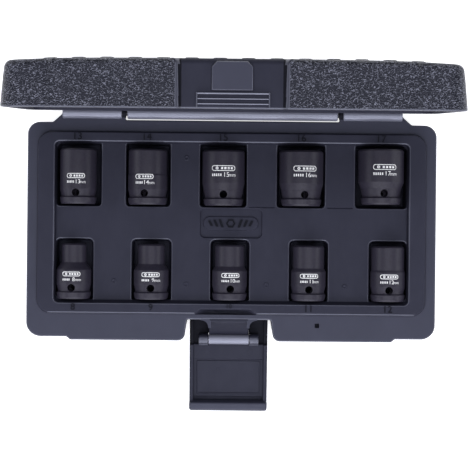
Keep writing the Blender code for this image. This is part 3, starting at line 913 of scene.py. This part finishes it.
# --- latch ------------------------------------------------------------------
def make_latch():
    shell = Shell()
    outer = -4.0
    inner_half = LATCH_HALF - 2.2
    mouth = 11.15
    # the ears behind the pivot are near-black: painted shade
    shell.colour = LATCH_PAINTED_SHADE
    for side in (-1, 1):
        x0, x1 = sorted((side * mouth, side * (inner_half + 0.3)))
        ear = [(outer, -LATCH_TAIL, 0.7), (-3.0, -LATCH_TAIL, 0.3), (-3.0, 4.0, 0.0), (outer, 4.0, 0.0)]
        shell.bar(filleted(ear), x0, x1, 0.2)
    shell.colour = LATCH_PLAIN
    body = [(outer, 3.1, 0.5), (-1.6, 3.1, 0.5), (-1.35, 11.4, 0.3), (-1.95, 12.0, 0.2)]
    body += [(-1.95, 33.0, 0.2), (-2.8, 33.3, 0.2), (-2.8, 38.0, 0.0), (outer, 38.0, 0.0)]
    body = filleted(body)
    shell.bar(body, -inner_half - 0.3, inner_half + 0.3, 0.2)
    # thin raised panel on the inner side
    rim = rect(-17.7, 17.7, 12.6, 31.6, 0.8)
    rings = []
    for inset, h in [(0.0, -2.2), (0.0, -1.75), (0.2, -1.6), (0.5, -1.6), (0.75, -1.75), (0.75, -2.2)]:
        rings.append([(x, h, z) for x, z in offset(rim, inset)])
    shell.solid(rings, closed=True)
    # rounded lip, in the lighter plastic as painted light
    lip = [(outer, 36.0, 0.0), (-1.2, 34.9, 0.5), (2.3, 35.6, 1.2), (2.3, 39.4, 1.5)]
    lip += [(0.4, LATCH_LENGTH, 1.5), (outer, LATCH_LENGTH, 1.4)]
    lip = filleted(lip)
    shell.colour = LATCH_LIP_PAINTED_LIGHT
    shell.bar(lip, -LATCH_HALF - 0.15, LATCH_HALF + 0.15, 1.3)
    shell.colour = LATCH_PLAIN
    for side in (-1, 1):
        x0, x1 = sorted((side * inner_half, side * LATCH_HALF))
        # outer ears near-black too: painted shade
        shell.colour = LATCH_PAINTED_SHADE
        ear = [(outer, -LATCH_TAIL, 0.9), (-1.4, -LATCH_TAIL, 1.0), (-1.4, 4.0, 0.0), (outer, 4.0, 0.0)]
        shell.bar(filleted(ear), x0, x1, 0.4)
        shell.colour = LATCH_PLAIN
        rib = [(outer, 3.0, 0.3), (0.3, 3.0, 0.6), (0.4, 37.0, 0.0), (outer, 37.0, 0.0)]
        shell.bar(filleted(rib), x0, x1, 0.55)
        x0, x1 = sorted((side * 11.3, side * 16.5))
        web = filleted([(-3.6, -2.6, 0.3), (0.0, -2.6, 0.3), (0.0, 3.4, 1.0), (-3.6, 5.0, 0.3)])
        shell.colour = LATCH_POLISHED
        shell.bar(web, x0, x1, 0.3)
        shell.rod(x0, x1, 0.0, 0.0, 2.9, 0.5, 40)
        shell.colour = LATCH_PLAIN
    # ejector marks
    for x, z, r in ((-11.9, 6.9, 1.1), (11.9, 6.9, 1.1), (-5.7, 17.6, 1.0)):
        level = -1.5 if z < 12 else -1.95
        mark = circle(x, z, r, 24)
        steps = ((0, -0.3), (0, 0.08), (0.2, 0.14))
        shell.solid([[(u, level + h, v) for u, v in offset(mark, i)] for i, h in steps])
    place = Matrix.Translation((LATCH_X, LATCH_Y, LATCH_Z)) @ Matrix.Rotation(
        math.radians(90 + LATCH_SLOPE), 4, "X"
    )
    shell.move(place)
    return shell.object("latch_moulding", LATCH_FINISHES)


# --- sockets ----------------------------------------------------------------
SIDES = 96


def ring_at(s, radius_at):
    angles = [math.tau * k / SIDES for k in range(SIDES)]
    return [
        (radius_at(a) * math.cos(a), s - SOCKET_LENGTH / 2, -radius_at(a) * math.sin(a)) for a in angles
    ]


def polygon(corners, across, phase):
    step = math.tau / corners
    return lambda a: across / 2 / math.cos((a - phase) % step - step / 2)


def socket_profile(size):
    nut_d, drive_d, _ = SOCKETS[size]
    r1, r2 = nut_d / 2, drive_d / 2
    if r1 <= r2:
        t0, t1 = 15.8, 16.4 + 1.25 * (r2 - r1)
    else:
        t0, t1 = 8.6, 12.2
    groove = r2 - 0.8
    corners = [
        (0.0, r2 - 1.0, 0.0),
        (0.9, r2 - 0.4, 0.5),
        (3.5, r2, 0.3),
        (4.2, groove, 0.3),
        (4.8, groove, 0.5),
        (8.2, r2, 1.0),
        (t0, r2, 1.2),
        (t1, r1, 1.2),
        (SOCKET_LENGTH - 0.8, r1, 0.5),
        (SOCKET_LENGTH, r1 - 0.8, 0.3),
    ]
    if r1 == r2:
        corners = [c for c in corners if c[0] not in (t0, t1)]
    return filleted(corners, closed=False)


def make_socket(size):
    across = size + 0.2
    hex_depth = 8.0 + 0.35 * size
    bore = min(8.4, across - 1.0) / 2
    square = polygon(4, DRIVE_SQUARE, math.radians(45))
    hexagon = polygon(6, across, 0.0)
    length = SOCKET_LENGTH
    mouth = across / math.sqrt(3) + 0.25
    rings = [ring_at(s, lambda a, r=r: r) for s, r in socket_profile(size)]
    rings += [
        ring_at(length, lambda a: mouth),
        ring_at(length - 0.5, lambda a: min(mouth - 0.35, hexagon(a) + 0.05)),
        ring_at(length - 1.1, hexagon),
        ring_at(length - hex_depth, hexagon),
        ring_at(length - hex_depth - 0.8, lambda a: bore),
        ring_at(DRIVE_DEPTH, lambda a: bore),
        ring_at(DRIVE_DEPTH, square),
        ring_at(0.5, square),
        ring_at(0.0, lambda a: square(a) + 0.35),
    ]
    shell = Shell()
    shell.solid(rings, closed=True)
    low, high = cad_box(f"socket_{size:02d}")
    centre = (low + high) / 2
    turn = SOCKETS[size][2]
    place = Matrix.Translation((centre[0], centre[1], SOCKET_Z)) @ Matrix.Rotation(
        -math.radians(turn), 4, "Y"
    )
    obj = shell.object(f"socket_{size:02d}_forged", [phosphate], 28.0, False)
    # the pin hole through both walls of the drive end
    tool_shell = Shell()
    loops = []
    for z in (-14.0, 14.0):
        loops.append(
            [
                (PIN_HOLE_R * math.cos(a), PIN_HOLE_AT - length / 2 + PIN_HOLE_R * math.sin(a), z)
                for a in np.linspace(0, math.tau, 33)[:-1]
            ]
        )
    tool_shell.solid(loops)
    tool = tool_shell.object("pin_hole_tool", [phosphate], 28.0, False)
    mod = obj.modifiers.new("hole", "BOOLEAN")
    mod.operation, mod.solver, mod.object = "DIFFERENCE", "EXACT", tool
    bpy.context.view_layer.update()
    graph = bpy.context.evaluated_depsgraph_get()
    mesh = bpy.data.meshes.new_from_object(obj.evaluated_get(graph))
    name = obj.name
    for gone in (obj, tool):
        bpy.data.objects.remove(gone, do_unlink=True)
    mesh.transform(Matrix.Translation(place.translation * MM) @ place.to_3x3().to_4x4())
    mesh.materials.clear()
    piece = finish_object(name, mesh, [phosphate], 28.0, True)
    return piece, place


# --- marks ------------------------------------------------------------------
def text_mesh(text, height, thickness):
    curve = bpy.data.curves.new("text", "FONT")
    curve.body = text
    curve.align_x, curve.align_y = "CENTER", "CENTER"
    curve.size = 1.0
    curve.resolution_u = 4
    obj = bpy.data.objects.new("text", curve)
    bpy.context.scene.collection.objects.link(obj)
    bpy.context.view_layer.update()
    tall = obj.dimensions.y
    curve.size = height / tall
    curve.extrude = thickness / 2
    bpy.context.view_layer.update()
    mesh = bpy.data.meshes.new_from_object(obj.evaluated_get(bpy.context.evaluated_depsgraph_get()))
    bpy.data.objects.remove(obj, do_unlink=True)
    bm = bmesh.new()
    bm.from_mesh(mesh)
    bpy.data.meshes.remove(mesh)
    bmesh.ops.remove_doubles(bm, verts=bm.verts, dist=1e-4)
    return bm


def add_text(shell, text, x, y, height, thickness, place):
    bm = text_mesh(text, height, thickness)
    bmesh.ops.triangulate(bm, faces=bm.faces)
    long = [e for e in bm.edges if e.calc_length() > 0.7]
    bmesh.ops.subdivide_edges(bm, edges=long, cuts=1)
    bm.verts.ensure_lookup_table()
    xs = [v.co.x for v in bm.verts]
    ys = [v.co.y for v in bm.verts]
    mid_x, mid_y = (min(xs) + max(xs)) / 2, (min(ys) + max(ys)) / 2
    start = len(shell.verts)
    for v in bm.verts:
        shell.verts.append(place(v.co.x - mid_x + x, v.co.y - mid_y + y, v.co.z))
    for f in bm.faces:
        shell.face(tuple(start + v.index for v in f.verts))
    bm.free()


def add_band(shell, outer, inner, thickness, place):
    """A thin closed frame between two loops of equally many points."""
    half = thickness / 2
    rings = []
    for loop, z in ((outer, -half), (outer, half), (inner, half), (inner, -half)):
        rings.append([place(x, y, z) for x, y in loop])
    shell.solid(rings, closed=True)


def dense(loop, step=0.35):
    out = []
    for a, b in zip(loop, np.roll(loop, -1, 0)):
        n = max(1, math.ceil(np.linalg.norm(b - a) / step))
        out += [a + (b - a) * k / n for k in range(n)]
    return np.array(out)


def make_marks(size, place_matrix):
    """A pale size mark: a framed hexagon and bars over the size in millimetres."""
    nut_d, drive_d, _ = SOCKETS[size]
    big = size > 14
    radius = (nut_d if big else drive_d) / 2
    s = 18.3 if big else (13.4 if size > 12 else 12.0)
    width = 13.2 if big else 10.2
    unit_h = 3.0 if big else (2.7 if size > 12 else 2.5)
    shell = Shell()

    def place(x, y, z):
        a = x / radius
        r = radius + 0.02 + z
        return (r * math.sin(a), s - SOCKET_LENGTH / 2 + y, r * math.cos(a))

    t = 0.06
    up = unit_h * 0.62
    frame_loop = dense(rect(-width / 2, width / 2, up - unit_h / 2, up + unit_h / 2, unit_h * 0.45))
    add_band(shell, frame_loop, offset(frame_loop, 0.38), t, place)
    middle = np.array((-width * 0.27, up))
    loop = dense(circle(*middle, unit_h * 0.30, 6))
    add_band(shell, loop, middle + (loop - middle) * 0.35, t, place)
    for k in range(4):
        x = width * (-0.06 + 0.135 * k)
        wide, tall = width * 0.045, unit_h * 0.2
        block = dense(rect(x - wide, x + wide, up - tall, up + tall, 0.12))
        centre = block.mean(0)
        add_band(shell, block, centre + (block - centre) * 0.08, t, place)
    low = -unit_h * 0.56
    for k in range(5):
        x = -width * 0.46 + k * width * 0.088
        wide = width * 0.026
        tick = dense(rect(x - wide, x + wide, low - unit_h * 0.26, low + unit_h * 0.2, 0.08))
        centre = tick.mean(0)
        add_band(shell, tick, centre + (tick - centre) * 0.08, t, place)
    add_text(shell, str(size), width * 0.13, low + 0.1, unit_h * 0.82, t, place)
    add_text(shell, "mm", width * 0.37, low - unit_h * 0.12, unit_h * 0.42, t, place)
    shell.move(place_matrix)
    return shell.object(f"socket_{size:02d}_mark", [ink], 60.0, False)


def make_numbers():
    """Raised size numbers on the ring, painted near-black as painted shade, and the small round mould
    marks.
    """
    shell = Shell()
    thickness = 0.8

    def on(level):
        return lambda x, y, z: (x, y, level + z)

    for size in POCKETS:
        low, high = cad_box(f"socket_{size:02d}")
        x = (low[0] + high[0]) / 2
        if size > 12:
            add_text(shell, str(size), x, 50.7, 3.9, thickness, on(RING_Z))
        elif size == 10:
            add_text(shell, str(size), x, -41.0, 2.4, thickness, on(RING_Z))
        else:
            add_text(shell, str(size), x, -41.9, 3.7, thickness, on(RING_Z))
    for x, y in ((-63.9, -28.0), (-24.6, -29.5), (19.1, -29.5), (62.0, -30.0), (-24.9, 39.5)):
        mark = circle(x, y, 1.5, 28)
        steps = ((0, -0.2), (0, 0.15), (0.3, 0.3), (0.7, 0.3), (1.0, 0.05))
        shell.colour = 1  # the tray's own plastic
        shell.solid([[(u, v, TRAY_Z + h) for u, v in offset(mark, i)] for i, h in steps])
    return shell.object("size_numbers", [painted_shade_plastic, plastic], 40.0, False)


def make_emblem():
    """A plain hexagon between bars on the pill in the tray, painted near-black as painted shade."""
    shell = Shell()
    level = TRAY_Z - 0.15
    t = 0.9

    def place(x, y, z):
        return (-0.5 + x, 4.0 + y, level + z)

    hexagon = dense(circle(0, 0, 2.6, 6))
    add_band(shell, hexagon, hexagon * 0.62, t, place)
    for side in (-1, 1):
        for k in range(3):
            x = side * (5.2 + 2.9 * k)
            half = 2.2 - 0.35 * k
            slant = side * 0.8
            foot = [(x - 0.7 - slant, -half, 0.3), (x + 0.7 - slant, -half, 0.3)]
            head = [(x + 0.7 + slant, half, 0.3), (x - 0.7 + slant, half, 0.3)]
            block = dense(filleted(foot + head))
            add_band(shell, block, block.mean(0) + (block - block.mean(0)) * 0.1, t, place)
    return shell.object("tray_emblem", [painted_shade_plastic], 40.0, False)


def adopt(obj, body, slot, *nodes):
    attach(obj, body)
    if nodes:
        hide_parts(*nodes)


adopt(make_base(), "base", "case_plastic", "case_base")
adopt(make_lid(), "lid", "case_plastic", "case_lid")
adopt(make_latch(), "latch", "latch_plastic", "latch")
adopt(make_numbers(), "base", "case_plastic")
adopt(make_emblem(), "base", "case_plastic")
for size in sorted(SOCKETS):
    piece, where = make_socket(size)
    adopt(piece, f"socket_{size:02d}_body", "phosphate_steel", f"socket_{size:02d}")
    adopt(make_marks(size, where), f"socket_{size:02d}_body", "phosphate_steel")
for node in ("hinge_pin_left", "hinge_pin_right", "latch_pin"):
    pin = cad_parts[node]
    pin.data.materials.clear()
    pin.data.materials.append(steel if node == "latch_pin" else blackened)


# --- studio -----------------------------------------------------------------
def floor_material():
    mat, tree, shader, coords = node_material("studio_floor", 0.9)
    shader.inputs["Emission Color"].default_value = (1.0, 1.0, 1.0, 1)
    shader.inputs["Emission Strength"].default_value = 0.7
    tone = noise(tree, coords, 3.0, 2.0)
    tree.links.new(
        ramp(tree, tone, 0.3, 0.7, (0.88, 0.88, 0.88), (0.90, 0.90, 0.90)), shader.inputs["Base Color"]
    )
    return mat


bm = bmesh.new()
bmesh.ops.create_grid(bm, x_segments=8, y_segments=8, size=3.0)
floor_mesh = bpy.data.meshes.new("studio_floor")
bm.to_mesh(floor_mesh)
bm.free()
floor_mesh.materials.append(floor_material())
floor = bpy.data.objects.new("studio_floor", floor_mesh)
bpy.context.scene.collection.objects.link(floor)

world = bpy.data.worlds.new("studio")
world.use_nodes = True
world.node_tree.nodes["Background"].inputs["Color"].default_value = (0.90, 0.94, 1.0, 1)
world.node_tree.nodes["Background"].inputs["Strength"].default_value = 0.34
bpy.context.scene.world = world


COOL = (0.92, 0.93, 1.0)


def area_light(name, place, aim, size, power):
    data = bpy.data.lights.new(name, "AREA")
    data.shape = "RECTANGLE"
    data.size, data.size_y = size
    data.energy = power
    data.color = COOL
    lamp = bpy.data.objects.new(name, data)
    bpy.context.scene.collection.objects.link(lamp)
    lamp.location = place
    lamp.rotation_euler = (Vector(aim) - Vector(place)).to_track_quat("-Z", "Y").to_euler()


area_light("overhead", (0.0, -0.50, 1.42), (0, 0, 0), (1.6, 1.0), 14.0)
area_light("back_box", (0.0, 0.50, 1.42), (0, -0.03, 0), (1.3, 0.5), 5.0)
area_light("front", (0.0, -1.25, 0.50), (0, 0, 0), (1.8, 0.5), 11.0)
area_light("near_front", (0.0, -0.50, 0.42), (0, -0.04, 0), (1.1, 0.14), 2.1)
area_light("left", (-1.3, -0.1, 0.6), (0, 0, 0), (1.2, 0.5), 6.0)
area_light("right", (1.3, -0.1, 0.6), (0, 0, 0), (1.2, 0.5), 6.0)

camera = bpy.data.objects.new("camera", bpy.data.cameras.new("camera"))
bpy.context.scene.collection.objects.link(camera)
camera.location = (-5.2 * MM, -3.2 * MM, 926.5 * MM)
camera.rotation_euler = [math.radians(turn) for turn in (0.056, -0.45, 0.562)]
camera.data.sensor_width = 36.0
camera.data.lens = 126.9
camera.data.clip_start, camera.data.clip_end = 0.05, 20.0
bpy.context.scene.camera = camera
bpy.context.scene.view_settings.view_transform = "Standard"
